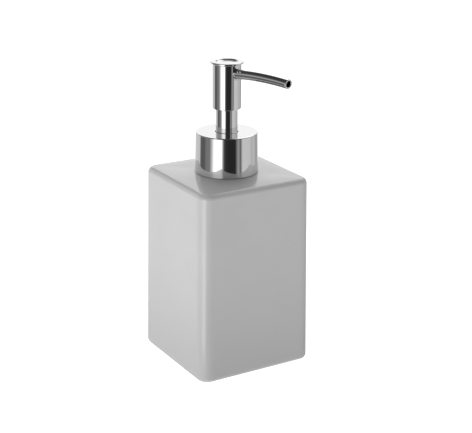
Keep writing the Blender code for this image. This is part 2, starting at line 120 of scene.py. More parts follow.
def skin(shape, rings, closed=False):
    """Adds faces between rings with equal counts: capped at both ends, or joined end to start."""
    rows = [[shape.verts.new(point) for point in ring] for ring in rings]
    pairs = list(zip(rows, rows[1:]))
    if closed:
        pairs.append((rows[-1], rows[0]))
    count = len(rows[0])
    for lower, upper in pairs:
        for index in range(count):
            after = (index + 1) % count
            shape.faces.new((lower[index], lower[after], upper[after], upper[index]))
    if not closed:
        shape.faces.new(list(reversed(rows[0])))
        shape.faces.new(rows[-1])


def smooth_piece(name, shape, sharp_degrees=40):
    """Welds the seams, turns every face outward, shades smooth and links the finished mesh."""
    bmesh.ops.remove_doubles(shape, verts=shape.verts, dist=weld_distance)
    bmesh.ops.recalc_face_normals(shape, faces=shape.faces)
    mesh = bpy.data.meshes.new(name)
    shape.to_mesh(mesh)
    shape.free()
    mesh.shade_smooth()
    mesh.set_sharp_from_angle(angle=math.radians(sharp_degrees))
    made = bpy.data.objects.new(name, mesh)
    bpy.context.scene.collection.objects.link(made)
    return made


def even_shading(made):
    """Keeps flat faces flat to the eye where a rounded edge runs into them."""
    weights = made.modifiers.new("even_shading", "WEIGHTED_NORMAL")
    weights.keep_sharp = True
    weights.weight = 80


def dress(made, body, node, finish):
    """Puts the finish on a piece that stands for a node of the frame, and lets it ride on its body."""
    made.data.materials.clear()
    made.data.materials.append(finish)
    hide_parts(node)
    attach(made, body)


def bottle_side(height):
    """Half the bottle's width at a height: it leans in towards the rim."""
    return foot_half + (rim_half - foot_half) * height / rim_height


def bottle_rings():
    """From the recess in the foot, up the outside, over the rim and dome, and down the inside."""
    stand = foot_half - foot_radius
    inner = stand - foot_ring_width
    rings = [rounded_square(inner - foot_recess, corner_radius, foot_recess)]
    rings.append(rounded_square(inner, corner_radius, 0))
    for angle in quarter(foot_steps):
        inset = foot_radius * (1 - math.sin(angle))
        height = foot_radius * (1 - math.cos(angle))
        rings.append(rounded_square(bottle_side(height) - inset, corner_radius - inset, height))
    for angle in quarter(edge_steps):
        inset = rim_radius * (1 - math.cos(angle))
        height = rim_height - rim_radius + rim_radius * math.sin(angle)
        rings.append(rounded_square(bottle_side(height) - inset, corner_radius - inset, height))
    rim = rings[-1]
    mouth = ring_inside(rim, mouth_radius + mouth_lip, bottle_high.z)
    for step in range(1, dome_steps):
        share = step / dome_steps
        height = rim_height + dome_rise * (1 - (1 - share) ** dome_ease)
        ring = [near.lerp(far, share) for near, far in zip(rim, mouth)]
        rings.append([Vector((point.x, point.y, height)) for point in ring])
    for angle in quarter(lip_steps):
        radius = mouth_radius + mouth_lip * (1 - math.sin(angle))
        rings.append(ring_inside(rim, radius, bottle_high.z - mouth_lip * (1 - math.cos(angle))))
    ceiling = bottle_high.z - mouth_depth
    rings.append(ring_inside(rim, mouth_radius, ceiling))
    for angle in quarter(fillet_steps):
        inset = cavity_fillet * (1 - math.sin(angle))
        height = ceiling - cavity_fillet * (1 - math.cos(angle))
        rings.append(rounded_square(bottle_side(height) - ceramic_wall - inset, corner_radius, height))
    for angle in quarter(fillet_steps):
        inset = cavity_fillet * (1 - math.cos(angle))
        height = cavity_floor + cavity_fillet * (1 - math.sin(angle))
        rings.append(rounded_square(bottle_side(height) - ceramic_wall - inset, corner_radius, height))
    return rings


def new_group(name, inputs, outputs):
    """A shader group with number inputs and number outputs, and its two end nodes."""
    group = bpy.data.node_groups.new(name, "ShaderNodeTree")
    for label, value in inputs:
        socket = group.interface.new_socket(label, in_out="INPUT", socket_type="NodeSocketFloat")
        socket.default_value = value
    for label in outputs:
        group.interface.new_socket(label, in_out="OUTPUT", socket_type="NodeSocketFloat")
    return group, group.nodes.new("NodeGroupInput"), group.nodes.new("NodeGroupOutput")


def math_node(tree, operation, first, second=None):
    """A math node whose inputs are numbers or sockets."""
    node = tree.nodes.new("ShaderNodeMath")
    node.operation = operation
    for index, value in enumerate((first, second)):
        if isinstance(value, bpy.types.NodeSocket):
            tree.links.new(value, node.inputs[index])
        elif value is not None:
            node.inputs[index].default_value = value
    return node.outputs[0]


def spread(tree, value, low, high, to_low, to_high):
    """Carries a value from one span to another, held at both ends."""
    node = tree.nodes.new("ShaderNodeMapRange")
    node.interpolation_type = "SMOOTHSTEP"
    tree.links.new(value, node.inputs["Value"])
    for label, number in (("From Min", low), ("From Max", high), ("To Min", to_low), ("To Max", to_high)):
        node.inputs[label].default_value = number
    return node.outputs["Result"]


def waviness_group():
    """Long soft waves with finer ones on them, as on poured glaze or a drawn sheet."""
    inputs = [("Waves per metre", 60), ("Fine share", 0.3)]
    group, start, end = new_group("soft_waviness", inputs, ["Height"])
    place = group.nodes.new("ShaderNodeTexCoord").outputs["Object"]
    heights = []
    for times in (1, 6):
        noise = group.nodes.new("ShaderNodeTexNoise")
        noise.inputs["Detail"].default_value = 2
        group.links.new(place, noise.inputs["Vector"])
        scale = math_node(group, "MULTIPLY", start.outputs["Waves per metre"], times)
        group.links.new(scale, noise.inputs["Scale"])
        heights.append(noise.outputs["Fac"])
    fine = math_node(group, "MULTIPLY", heights[1], start.outputs["Fine share"])
    group.links.new(math_node(group, "ADD", heights[0], fine), end.inputs["Height"])
    return group


def speckle_group():
    """Scattered small round specks, such as iron specks in clay or dust caught in a finish."""
    inputs = [("Specks per metre", 900), ("Speck size", 0.12)]
    group, start, end = new_group("fine_specks", inputs, ["Mask"])
    place = group.nodes.new("ShaderNodeTexCoord").outputs["Object"]
    cells = group.nodes.new("ShaderNodeTexVoronoi")
    group.links.new(place, cells.inputs["Vector"])
    group.links.new(start.outputs["Specks per metre"], cells.inputs["Scale"])
    scatter = group.nodes.new("ShaderNodeTexNoise")
    scatter.inputs["Scale"].default_value = 170
    group.links.new(place, scatter.inputs["Vector"])
    rare = spread(group, scatter.outputs["Fac"], 0.60, 0.68, 0, 1)
    near = math_node(group, "LESS_THAN", cells.outputs["Distance"], start.outputs["Speck size"])
    group.links.new(math_node(group, "MULTIPLY", near, rare), end.inputs["Mask"])
    return group


def place_group(tree, group, values):
    """Puts a shader group into a material's tree with values of its own."""
    node = tree.nodes.new("ShaderNodeGroup")
    node.node_tree = group
    for label, value in values.items():
        node.inputs[label].default_value = value
    return node


def plain_finish(name):
    """A new material with its tree and its one Principled shader."""
    finish = bpy.data.materials.new(name)
    finish.use_nodes = True
    tree = finish.node_tree
    return finish, tree, tree.nodes["Principled BSDF"]


def mix_colours(tree, mask, first, second):
    """A colour between two, by a mask. Each may be a colour or a socket."""
    node = tree.nodes.new("ShaderNodeMix")
    node.data_type = "RGBA"
    tree.links.new(mask, node.inputs["Factor"])
    for index, value in ((6, first), (7, second)):
        if isinstance(value, bpy.types.NodeSocket):
            tree.links.new(value, node.inputs[index])
        else:
            node.inputs[index].default_value = (*value, 1)
    return node.outputs[2]


def bump(tree, shader, height, strength, distance):
    """Lets a height tilt the surface's normal a little."""
    node = tree.nodes.new("ShaderNodeBump")
    node.inputs["Strength"].default_value = strength
    node.inputs["Distance"].default_value = distance
    tree.links.new(height, node.inputs["Height"])
    tree.links.new(node.outputs["Normal"], shader.inputs["Normal"])


soft_waviness = waviness_group()
fine_specks = speckle_group()


def glazed_ceramic():
    """Clear glaze over pale clay: it pools and thins in slow waves, and painted shade darkens it towards
    the foot.
    """
    finish, tree, shader = plain_finish("glazed_ceramic")
    waves = place_group(tree, soft_waviness, {"Waves per metre": 55, "Fine share": 0.25})
    specks = place_group(tree, fine_specks, {"Specks per metre": 1400, "Speck size": 0.16})
    place = tree.nodes.new("ShaderNodeTexCoord").outputs["Object"]
    parts = tree.nodes.new("ShaderNodeSeparateXYZ")
    tree.links.new(place, parts.inputs["Vector"])
    tone = spread(tree, waves.outputs["Height"], 0.35, 0.95, 0, 1)
    thin_glaze = mix_colours(tree, tone, thin_glaze_tone, thick_glaze_tone)
    # Painted shade: the colour darkens from the given height down to the foot, where less light reaches the
    # sides.
    painted_foot_shade = spread(tree, parts.outputs["Z"], 0.0, foot_shade_height, 1, 0)
    glaze = mix_colours(tree, painted_foot_shade, thin_glaze, foot_shade_tone)
    speck_mask = math_node(tree, "MULTIPLY", specks.outputs["Mask"], iron_speck_share)
    speckled = mix_colours(tree, speck_mask, glaze, iron_speck_tone)
    bare = spread(tree, parts.outputs["Z"], *bare_clay_heights, 1, 0)
    tree.links.new(mix_colours(tree, bare, speckled, bare_clay_tone), shader.inputs["Base Color"])
    gloss = spread(tree, waves.outputs["Height"], 0.3, 1.0, *glaze_roughness)
    bare_roughness = math_node(tree, "MULTIPLY", bare, bare_clay_roughness)
    tree.links.new(math_node(tree, "MAXIMUM", gloss, bare_roughness), shader.inputs["Roughness"])
    shader.inputs["IOR"].default_value = 1.52
    bump(tree, shader, waves.outputs["Height"], strength=0.25, distance=0.00003)
    return finish


ceramic_finish = glazed_ceramic()
bottle_shape = bmesh.new()
skin(bottle_shape, bottle_rings())
bottle = smooth_piece("glazed_bottle", bottle_shape)
even_shading(bottle)
dress(bottle, "bottle", "ceramic_bottle", ceramic_finish)

# The neck washer is a flat ring, die-cut from black sheet rubber. It lies on the glazed rim and
# beds the insert's flange there, because a fired rim is never quite even.
rubber_tone = (0.030, 0.030, 0.031)
rubber_bloom_tone = (0.055, 0.054, 0.053)
rubber_dust_tone = (0.16, 0.155, 0.15)
rubber_dust_share = 0.5
rubber_roughness = (0.58, 0.78)


def dusty_rubber():
    """Black rubber with a pale bloom in clouds and dust in its skin."""
    finish, tree, shader = plain_finish("black_rubber")
    bloom = place_group(tree, soft_waviness, {"Waves per metre": 260, "Fine share": 0.6})
    dust = place_group(tree, fine_specks, {"Specks per metre": 5200, "Speck size": 0.22})
    cloud = spread(tree, bloom.outputs["Height"], 0.5, 1.1, 0, 1)
    skin_tone = mix_colours(tree, cloud, rubber_tone, rubber_bloom_tone)
    dust_mask = math_node(tree, "MULTIPLY", dust.outputs["Mask"], rubber_dust_share)
    tree.links.new(mix_colours(tree, dust_mask, skin_tone, rubber_dust_tone), shader.inputs["Base Color"])
    tree.links.new(spread(tree, cloud, 0, 1, *rubber_roughness), shader.inputs["Roughness"])
    bump(tree, shader, bloom.outputs["Height"], strength=0.3, distance=0.00004)
    return finish


def finish_node(node, finish):
    """Gives a piece that is carried over from the frame its finish."""
    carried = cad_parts[node]
    carried.data.materials.clear()
    carried.data.materials.append(finish)


rubber_finish = dusty_rubber()
finish_node("neck_washer", rubber_finish)

# The neck insert is moulded in white polypropylene and cemented into the mouth: a sleeve below,
# a thin flange on the rim, and a neck with a coarse rounded thread that runs out at both ends.
insert_low, insert_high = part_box("neck_insert")
insert_flange_radius = insert_high.x
insert_sleeve_radius = 0.0138
insert_bore = 0.0120
insert_sleeve_length = 0.0090
insert_flange_thickness = 0.0006
insert_flange_foot = insert_low.z + insert_sleeve_length
insert_flange_top = insert_flange_foot + insert_flange_thickness
neck_radius = 0.0133
neck_lead = 0.0005
insert_edge = 0.0002
thread_pitch = 0.0032
thread_width = 0.0015
thread_height = 0.0004
thread_crest = neck_radius + thread_height
thread_crest_share = 0.26
thread_sink = 0.0001
thread_fades_per_turn = 3
thread_sides = 144
white_plastic_tone = (0.80, 0.80, 0.78)
white_cloud_tone = (0.75, 0.75, 0.73)


def arc(radius, height, bend, start, stop, steps):
    """Points (radius, height) round a centre, from one angle to another in degrees."""
    points = []
    for step in range(steps + 1):
        angle = math.radians(start + (stop - start) * step / steps)
        points.append((radius + bend * math.cos(angle), height + bend * math.sin(angle)))
    return points


def turned_rings(outline, sides):
    """Each point of a closed (radius, height) outline, carried round the axis."""
    rings = []
    for radius, height in outline:
        angles = [math.tau * side / sides for side in range(sides)]
        rings.append([Vector((radius * math.cos(a), radius * math.sin(a), height)) for a in angles])
    return rings


def turned(name, outline, sides=144, sharp_degrees=40):
    """A piece turned from a closed (radius, height) outline."""
    shape = bmesh.new()
    skin(shape, turned_rings(outline, sides), closed=True)
    return smooth_piece(name, shape, sharp_degrees)


def thread_ridge(shape, root, crest, foot, top, steps_per_turn=60):
    """A helical ridge between two levels on a cylinder of radius root, fading over its ends."""
    turns = (top - foot) / thread_pitch
    count = round(turns * steps_per_turn)
    rings = []
    for index in range(count + 1):
        turn = turns * index / count
        fade = min(1, turn * thread_fades_per_turn, (turns - turn) * thread_fades_per_turn)
        outer = root + (crest - root) * fade
        sunk = root - math.copysign(thread_sink, crest - root)
        height = foot + turn * thread_pitch
        section = [
            (sunk, -0.5), (root, -0.5), (outer, -thread_crest_share), (outer, 0.0),
            (outer, thread_crest_share), (root, 0.5), (sunk, 0.5),
        ]
        along = Matrix.Rotation(math.tau * turn, 3, "Z")
        points = [(radius, 0, height + share * thread_width) for radius, share in section]
        rings.append([along @ Vector(point) for point in points])
    skin(shape, rings)


def threaded(name, outline, root, crest, foot, top):
    """A turned piece with a thread on it."""
    shape = bmesh.new()
    skin(shape, turned_rings(outline, thread_sides), closed=True)
    thread_ridge(shape, root, crest, foot, top)
    return smooth_piece(name, shape)


def moulding_group():
    """Moulded plastic: a fine spark-eroded grain, and soft flow clouds that fade along the piece."""
    inputs = [("Grain per metre", 9000), ("Clouds per metre", 120)]
    group, start, end = new_group("moulding_marks", inputs, ["Grain", "Cloud"])
    place = group.nodes.new("ShaderNodeTexCoord").outputs["Object"]
    for label, scale, detail in (("Grain", "Grain per metre", 1), ("Cloud", "Clouds per metre", 3)):
        noise = group.nodes.new("ShaderNodeTexNoise")
        noise.inputs["Detail"].default_value = detail
        group.links.new(place, noise.inputs["Vector"])
        group.links.new(start.outputs[scale], noise.inputs["Scale"])
        group.links.new(spread(group, noise.outputs["Fac"], 0.3, 0.7, 0, 1), end.inputs[label])
    return group


moulding_marks = moulding_group()


def moulded_plastic(name, clear_tone, cloud_tone, smoothest, roughest):
    """Moulded or extruded plastic, clouded where it flowed and a little rougher in the clouds."""
    finish, tree, shader = plain_finish(name)
    marks = place_group(tree, moulding_marks, {"Grain per metre": 9000, "Clouds per metre": 130})
    cloud = marks.outputs["Cloud"]
    tree.links.new(mix_colours(tree, cloud, clear_tone, cloud_tone), shader.inputs["Base Color"])
    tree.links.new(spread(tree, cloud, 0, 1, smoothest, roughest), shader.inputs["Roughness"])
    bump(tree, shader, marks.outputs["Grain"], strength=0.2, distance=0.00002)
    return finish


plastic_finish = moulded_plastic("white_polypropylene", white_plastic_tone, white_cloud_tone,
                                 smoothest=0.34, roughest=0.46)
insert_outline = [
    (insert_bore, insert_low.z),
    (insert_bore, insert_high.z - insert_edge),
    (insert_bore + insert_edge, insert_high.z),
    (neck_radius - neck_lead, insert_high.z),
    *arc(neck_radius - neck_lead, insert_high.z - neck_lead, neck_lead, 80, 0, 4),
    (neck_radius, insert_flange_top),
    *arc(insert_flange_radius - insert_edge, insert_flange_top - insert_edge, insert_edge, 90, 0, 3),
    *arc(insert_flange_radius - insert_edge, insert_flange_foot + insert_edge, insert_edge, 0, -90, 3),
    (insert_sleeve_radius, insert_flange_foot),
    (insert_sleeve_radius, insert_low.z + neck_lead),
    (insert_sleeve_radius - neck_lead, insert_low.z),
]
insert = threaded("threaded_neck", insert_outline, neck_radius, thread_crest,
                  insert_flange_top + thread_width, insert_high.z - neck_lead - thread_width)
even_shading(insert)
dress(insert, "bottle", "neck_insert", plastic_finish)

# The closure gasket is the same sheet rubber, cut to a flat ring that rests on the neck's top
# and seals the pump's flange.
gasket_low, gasket_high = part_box("closure_gasket")
barrel_radius = 0.0076
gasket_edge = 0.0002
hidden_gap = 0.00025
gasket_hole = barrel_radius + hidden_gap
gasket_outline = [
    (gasket_hole, gasket_low.z),
    (gasket_hole, gasket_high.z),
    *arc(gasket_high.x - gasket_edge, gasket_high.z - gasket_edge, gasket_edge, 90, 0, 3),
    *arc(gasket_high.x - gasket_edge, gasket_low.z + gasket_edge, gasket_edge, 0, -90, 3),
]
gasket = turned("gasket_ring", gasket_outline, sides=128)
even_shading(gasket)
dress(gasket, "pump", "closure_gasket", rubber_finish)

# The pump's housing is one white moulding: a flange that the collar clamps, a long barrel for the
# piston, a cone down to the inlet ball's chamber, and a socket for the dip tube.
housing_low, housing_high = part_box("pump_cylinder")
housing_edge = 0.0002
flange_thickness = 0.0012
barrel_bore = 0.00685
barrel_wall = 0.00075
valve_wall = 0.0010
socket_bore = 0.00345
socket_length = 0.0085
seat_length = 0.0016
valve_length = 0.01604
valve_cone_height = 0.0040
socket_top = housing_low.z + socket_length
chamber_floor = socket_top + seat_length
cone_foot = housing_low.z + valve_length
spring_ledge = cone_foot + valve_cone_height
chamber_bore = 0.0031
seat_hole = 0.0017
snap_lip = 0.00225
ledge_radius = 0.00465
flange_foot = housing_high.z - flange_thickness
housing_outline = [
    *arc(housing_high.x - housing_edge, flange_foot + housing_edge, housing_edge, 0, -90, 3),
    *arc(barrel_radius + housing_edge, flange_foot - housing_edge, housing_edge, 90, 180, 3),
    (barrel_radius, spring_ledge - barrel_wall),
    (chamber_bore + valve_wall, cone_foot - barrel_wall),
    (chamber_bore + valve_wall, socket_top + valve_wall),
    (socket_bore + valve_wall, socket_top),
    *arc(socket_bore + valve_wall / 2, housing_low.z + valve_wall / 2, valve_wall / 2, 0, -180, 8),
    (socket_bore, socket_top),
    (seat_hole, socket_top),
    (seat_hole, chamber_floor),
    (chamber_bore, chamber_floor + chamber_bore - seat_hole),
    (chamber_bore, cone_foot - valve_wall),
    (snap_lip, cone_foot),
    (snap_lip, cone_foot + valve_wall),
    (ledge_radius, spring_ledge),
    (barrel_bore, spring_ledge),
    (barrel_bore, housing_high.z - housing_edge),
    (barrel_bore + housing_edge, housing_high.z),
    *arc(housing_high.x - housing_edge, housing_high.z - housing_edge, housing_edge, 90, 0, 3),
]
housing = turned("pump_housing", housing_outline, sides=128)
even_shading(housing)
dress(housing, "pump", "pump_cylinder", plastic_finish)

# The inlet ball is a ground steel ball, loose on the cone over the dip tube's socket. It lifts
# when the piston draws and drops back on its seat when the head is pressed.
bright_steel_tone = (0.62, 0.62, 0.63)
dull_steel_tone = (0.50, 0.49, 0.48)


def film_group():
    """Faint hand marks on polished metal: soft cloudy patches with finer wiping streaks in them."""
    inputs = [("Patches per metre", 70), ("Streaks per metre", 900)]
    group, start, end = new_group("handling_film", inputs, ["Mask"])
    place = group.nodes.new("ShaderNodeTexCoord").outputs["Object"]
    patches = group.nodes.new("ShaderNodeTexNoise")
    patches.inputs["Detail"].default_value = 3
    group.links.new(place, patches.inputs["Vector"])
    group.links.new(start.outputs["Patches per metre"], patches.inputs["Scale"])
    stretch = group.nodes.new("ShaderNodeMapping")
    stretch.inputs["Scale"].default_value = (0.35, 0.35, 1.0)
    group.links.new(place, stretch.inputs["Vector"])
    streaks = group.nodes.new("ShaderNodeTexNoise")
    streaks.inputs["Detail"].default_value = 4
    group.links.new(stretch.outputs["Vector"], streaks.inputs["Vector"])
    group.links.new(start.outputs["Streaks per metre"], streaks.inputs["Scale"])
    cloud = spread(group, patches.outputs["Fac"], 0.48, 0.72, 0, 1)
    wiped = spread(group, streaks.outputs["Fac"], 0.35, 0.75, 0.35, 1)
    group.links.new(math_node(group, "MULTIPLY", cloud, wiped), end.inputs["Mask"])
    return group


handling_film = film_group()


def worked_steel(name, smoothest, roughest, streaks):
    """Bright steel with fine marks of how it was drawn or ground."""
    finish, tree, shader = plain_finish(name)
    film = place_group(tree, handling_film, {"Patches per metre": 420, "Streaks per metre": streaks})
    worn = film.outputs["Mask"]
    tree.links.new(mix_colours(tree, worn, bright_steel_tone, dull_steel_tone), shader.inputs["Base Color"])
    tree.links.new(spread(tree, worn, 0, 1, smoothest, roughest), shader.inputs["Roughness"])
    shader.inputs["Metallic"].default_value = 1
    bump(tree, shader, film.outputs["Mask"], strength=0.15, distance=0.00001)
    return finish


def steel_ball(name, node, body):
    """A finely divided ball in the place of a node's."""
    low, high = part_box(node)
    middle = (low + high) / 2
    radius = (high.z - low.z) / 2
    shape = bmesh.new()
    place = Matrix.Translation(middle)
    bmesh.ops.create_uvsphere(shape, u_segments=48, v_segments=32, radius=radius, matrix=place)
    dress(smooth_piece(name, shape), body, node, ball_finish)


ball_finish = worked_steel("ground_steel", smoothest=0.10, roughest=0.24, streaks=5000)
steel_ball("inlet_valve_ball", "inlet_ball", "inlet_valve")

# The dip tube is extruded in milky polyethylene and pushed into the housing's socket. Its foot
# is cut at a slant, so that the bottle's floor can't close it.
tube_low, tube_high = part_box("dip_tube")
tube_radius = tube_high.x
tube_wall = 0.0008
tube_cut_degrees = 28
tube_cut_slope = math.tan(math.radians(tube_cut_degrees))
tube_lip = 0.00015
milky_tone = (0.84, 0.85, 0.84)
milky_cloud_tone = (0.78, 0.80, 0.80)
milky_finish = moulded_plastic("milky_polyethylene", milky_tone, milky_cloud_tone,
                               smoothest=0.24, roughest=0.36)
tube_outline = [
    (tube_radius - tube_wall, tube_low.z),
    (tube_radius - tube_wall, tube_high.z - tube_lip),
    *arc(tube_radius - tube_wall + tube_lip, tube_high.z - tube_lip, tube_lip, 180, 90, 2),
    *arc(tube_radius - tube_lip, tube_high.z - tube_lip, tube_lip, 90, 0, 2),
    (tube_radius, tube_low.z),
]
dip_tube = turned("suction_tube", tube_outline, sides=64)
for vertex in dip_tube.data.vertices:
    if vertex.co.z < (tube_low.z + tube_high.z) / 2:
        vertex.co.z += (vertex.co.x + tube_radius) * tube_cut_slope
even_shading(dip_tube)
dress(dip_tube, "pump", "dip_tube", milky_finish)

# The spring, the piston on its seat and the hollow rod travel in the barrel. The spring is wound from round
# steel wire, with a closed turn at each end, and it rides with the plunger as one piece. The piston is soft
# milky plastic, and the seat and the rod are moulded.
spring_low, spring_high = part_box("return_spring")
wire_radius = 0.00055
coil_radius = spring_high.x - wire_radius
closed_gap = 0.0006
closed_pitch = wire_radius * 2 + closed_gap
closed_turns = 1
open_turns = 5


def spring_wire(steps_per_turn=48, sides=12):
    """The wire's rings along a helix: a closed turn at each end and open turns between."""
    turns_in_all = open_turns + closed_turns * 2
    foot = spring_low.z + wire_radius
    rise = spring_high.z - spring_low.z - wire_radius * 2
    open_pitch = (rise - closed_pitch * closed_turns * 2) / open_turns
    rings = []
    for index in range(turns_in_all * steps_per_turn + 1):
        turn = index / steps_per_turn
        first = min(turn, closed_turns)
        between = min(max(turn - closed_turns, 0), open_turns)
        last = max(turn - closed_turns - open_turns, 0)
        height = foot + (first + last) * closed_pitch + between * open_pitch
        along = Matrix.Rotation(math.tau * turn, 3, "Z")
        ring = []
        for side in range(sides):
            angle = math.tau * side / sides
            radius = coil_radius + wire_radius * math.cos(angle)
            ring.append(along @ Vector((radius, 0, height + wire_radius * math.sin(angle))))
        rings.append(ring)
    return rings


wire_finish = worked_steel("drawn_wire", smoothest=0.20, roughest=0.36, streaks=8000)
spring_shape = bmesh.new()
skin(spring_shape, spring_wire())
spring = smooth_piece("wound_spring", spring_shape)
dress(spring, "plunger", "return_spring", wire_finish)
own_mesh(spring)
finish_node("piston_seat", plastic_finish)
finish_node("piston", milky_finish)
finish_node("piston_rod", plastic_finish)

# The stem guide is a white moulded cup, pushed into the barrel's mouth. It guides the rod and the
# sleeve and holds the piston down.
guide_low, guide_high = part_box("stem_guide")
guide_outer = 0.00655
guide_inner = 0.0059
guide_floor = 0.0012
guide_flange = 0.0010
guide_rod_hole = 0.0035
guide_edge = 0.0002
guide_outline = [
    *arc(guide_high.x - guide_edge, guide_high.z - guide_edge, guide_edge, 90, 0, 3),
    (guide_high.x, guide_high.z - guide_flange),
    (guide_outer, guide_high.z - guide_flange),
    (guide_outer, guide_low.z + guide_edge),
    (guide_outer - guide_edge, guide_low.z),
    (guide_rod_hole, guide_low.z),
    (guide_rod_hole, guide_low.z + guide_floor),
    (guide_inner, guide_low.z + guide_floor),
    (guide_inner, guide_high.z - guide_edge),
    (guide_inner + guide_edge, guide_high.z),
]
guide = turned("guide_cup", guide_outline, sides=128)
even_shading(guide)
dress(guide, "pump", "stem_guide", plastic_finish)

# The collar is a deep-drawn brass cup, polished and chrome-plated. It has a crisp flat top with
# a hole for the stem, and it widens a little to its cut edge, which stands just clear of the glaze.
collar_low, collar_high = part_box("collar_shell")
sleeve_low, sleeve_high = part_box("stem_sleeve")
collar_radius = (collar_high.x - collar_low.x) / 2
collar_sheet = 0.0005
collar_top_sheet = 0.0006
collar_edge = 0.00060
sleeve_clearance = 0.0003
collar_hole = sleeve_high.x + sleeve_clearance
collar_flare = 0.00020
collar_lift = 0.00018
collar_foot = bottle_high.z + collar_lift
chrome_tone = (0.71, 0.71, 0.715)
handled_chrome_tone = (0.67, 0.67, 0.67)
chrome_roughness = (0.018, 0.075)


def polished_chrome():
    """Bright chrome plate, a little duller where hands have left a film on it."""
    finish, tree, shader = plain_finish("polished_chrome")
    film = place_group(tree, handling_film, {"Patches per metre": 85, "Streaks per metre": 1100})
    waves = place_group(tree, soft_waviness, {"Waves per metre": 140, "Fine share": 0.15})
    tone = mix_colours(tree, film.outputs["Mask"], chrome_tone, handled_chrome_tone)
    tree.links.new(tone, shader.inputs["Base Color"])
    tree.links.new(spread(tree, film.outputs["Mask"], 0, 1, *chrome_roughness), shader.inputs["Roughness"])
    shader.inputs["Metallic"].default_value = 1
    bump(tree, shader, waves.outputs["Height"], strength=0.12, distance=0.000008)
    return finish


chrome_finish = polished_chrome()
half_sheet = collar_sheet / 2
collar_outline = [
    *arc(collar_radius + collar_flare - half_sheet, collar_foot + half_sheet, half_sheet, -180, 0, 8),
    *arc(collar_radius - collar_flare - collar_edge, collar_high.z - collar_edge, collar_edge, 0, 90, 8),
    *arc(collar_hole + collar_edge / 2, collar_high.z - collar_edge / 2, collar_edge / 2, 90, 180, 4),
    (collar_hole, collar_high.z - collar_top_sheet),
    (collar_radius - collar_flare - collar_sheet, collar_high.z - collar_top_sheet),
]
collar = turned("collar_cup", collar_outline, sides=192)
even_shading(collar)
dress(collar, "collar", "collar_shell", chrome_finish)

# The closure ring is the white moulded screw cap pressed into the shell. Its plate clamps the
# pump's flange on the neck, and the thread inside it matches the neck's.
ring_low, ring_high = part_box("closure_ring")
ring_bore = 0.0142
ring_thread_height = 0.00035
ring_thread_crest = ring_bore - ring_thread_height
ring_plate = 0.0012
ring_hole = sleeve_high.x + sleeve_clearance * 2
ring_edge = 0.0002
ring_outline = [
    *arc(ring_high.x - ring_edge, ring_high.z - ring_edge, ring_edge, 90, 0, 3),
    *arc(ring_high.x - ring_edge, ring_low.z + ring_edge, ring_edge, 0, -90, 3),
    (ring_bore + ring_edge, ring_low.z),
    (ring_bore, ring_low.z + ring_edge),
    (ring_bore, ring_high.z - ring_plate),
    (ring_hole, ring_high.z - ring_plate),
    (ring_hole, ring_high.z),
]
screw_ring = threaded("screw_ring", ring_outline, ring_bore, ring_thread_crest,
                      ring_low.z + thread_width, ring_high.z - ring_plate - thread_width * 2)
even_shading(screw_ring)
dress(screw_ring, "collar", "closure_ring", plastic_finish)

# The stem sleeve is a short tube, drawn thin and chrome-plated. It is pressed into the head's core
# and slides down through the collar's hole when the head is pressed.
sleeve_radius = sleeve_high.x
sleeve_wall = 0.0005
half_wall = sleeve_wall / 2
sleeve_outline = [
    *arc(sleeve_radius - half_wall, sleeve_low.z + half_wall, half_wall, -180, 0, 6),
    *arc(sleeve_radius - half_wall, sleeve_high.z - half_wall, half_wall, 0, 180, 6),
]
sleeve = turned("chrome_stem", sleeve_outline, sides=128)
even_shading(sleeve)
dress(sleeve, "head", "stem_sleeve", chrome_finish)

# The head's core is a white moulded plug with sockets for the stem, the rod and the spout, and a
# chamber where the outlet ball lifts off the rod's mouth. The rubber ring seals the spout in it.
finish_node("head_core", plastic_finish)
finish_node("spout_seal", rubber_finish)
steel_ball("outlet_valve_ball", "outlet_ball", "outlet_valve")

# The spout is a thin chrome-plated tube. It leaves the head at a slight rise, then one long easy
# bend takes it down. Its open end is squared and its lip is softly rounded.
seal_low, seal_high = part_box("spout_seal")
seal_middle = (seal_low + seal_high) / 2
spout_rise = math.radians(5.2)
spout_turn = math.atan2(seal_middle.y, seal_middle.x)
spout_level = seal_middle.z - seal_middle.xy.length * math.tan(spout_rise)
spout_radius = 0.0025
spout_bore = 0.0016
spout_start = 0.0030
spout_straight = 0.0076
spout_reach = 0.0428
spout_bend = 0.2090
spout_lip = 0.00030
spout_lip_steps = 8


def spout_path(steps=48):
    """(place, direction) pairs along the middle of the tube, in the plane of X and Z."""
    forward = Vector((math.cos(spout_rise), 0, math.sin(spout_rise)))
    downward = Vector((math.sin(spout_rise), 0, -math.cos(spout_rise)))
    straight = [forward * spout_start, forward * (spout_start + spout_straight)]
    path = [(straight[0], forward)]
    turn_in_all = (spout_reach - spout_start - spout_straight) / spout_bend
    for step in range(steps + 1):
        turn = turn_in_all * step / steps
        along = forward * spout_bend * math.sin(turn)
        drop = downward * spout_bend * (1 - math.cos(turn))
        path.append((straight[1] + along + drop, forward * math.cos(turn) + downward * math.sin(turn)))
    return path


def tube_ring(place, direction, radius, sides):
    """A ring of points square to a direction that lies in the plane of X and Z."""
    side = Vector((0, 1, 0))
    up = direction.cross(side) * -1
    angles = [math.tau * index / sides for index in range(sides)]
    return [place + (side * math.cos(a) + up * math.sin(a)) * radius for a in angles]


def spout_rings(sides=64):
    """Along the outside of the tube, round its soft lip and back along the bore."""
    path = spout_path()
    end_place, end_direction = path[-1]
    rings = [tube_ring(place, direction, spout_radius, sides) for place, direction in path[:-1]]
    middle = (spout_radius + spout_bore) / 2
    half_spout_wall = (spout_radius - spout_bore) / 2
    for step in range(spout_lip_steps + 1):
        angle = math.pi * step / spout_lip_steps
        place = end_place + end_direction * (spout_lip * math.sin(angle) - spout_lip)
        rings.append(tube_ring(place, end_direction, middle + half_spout_wall * math.cos(angle), sides))
    rings.extend(tube_ring(place, direction, spout_bore, sides) for place, direction in reversed(path[:-1]))
    return rings


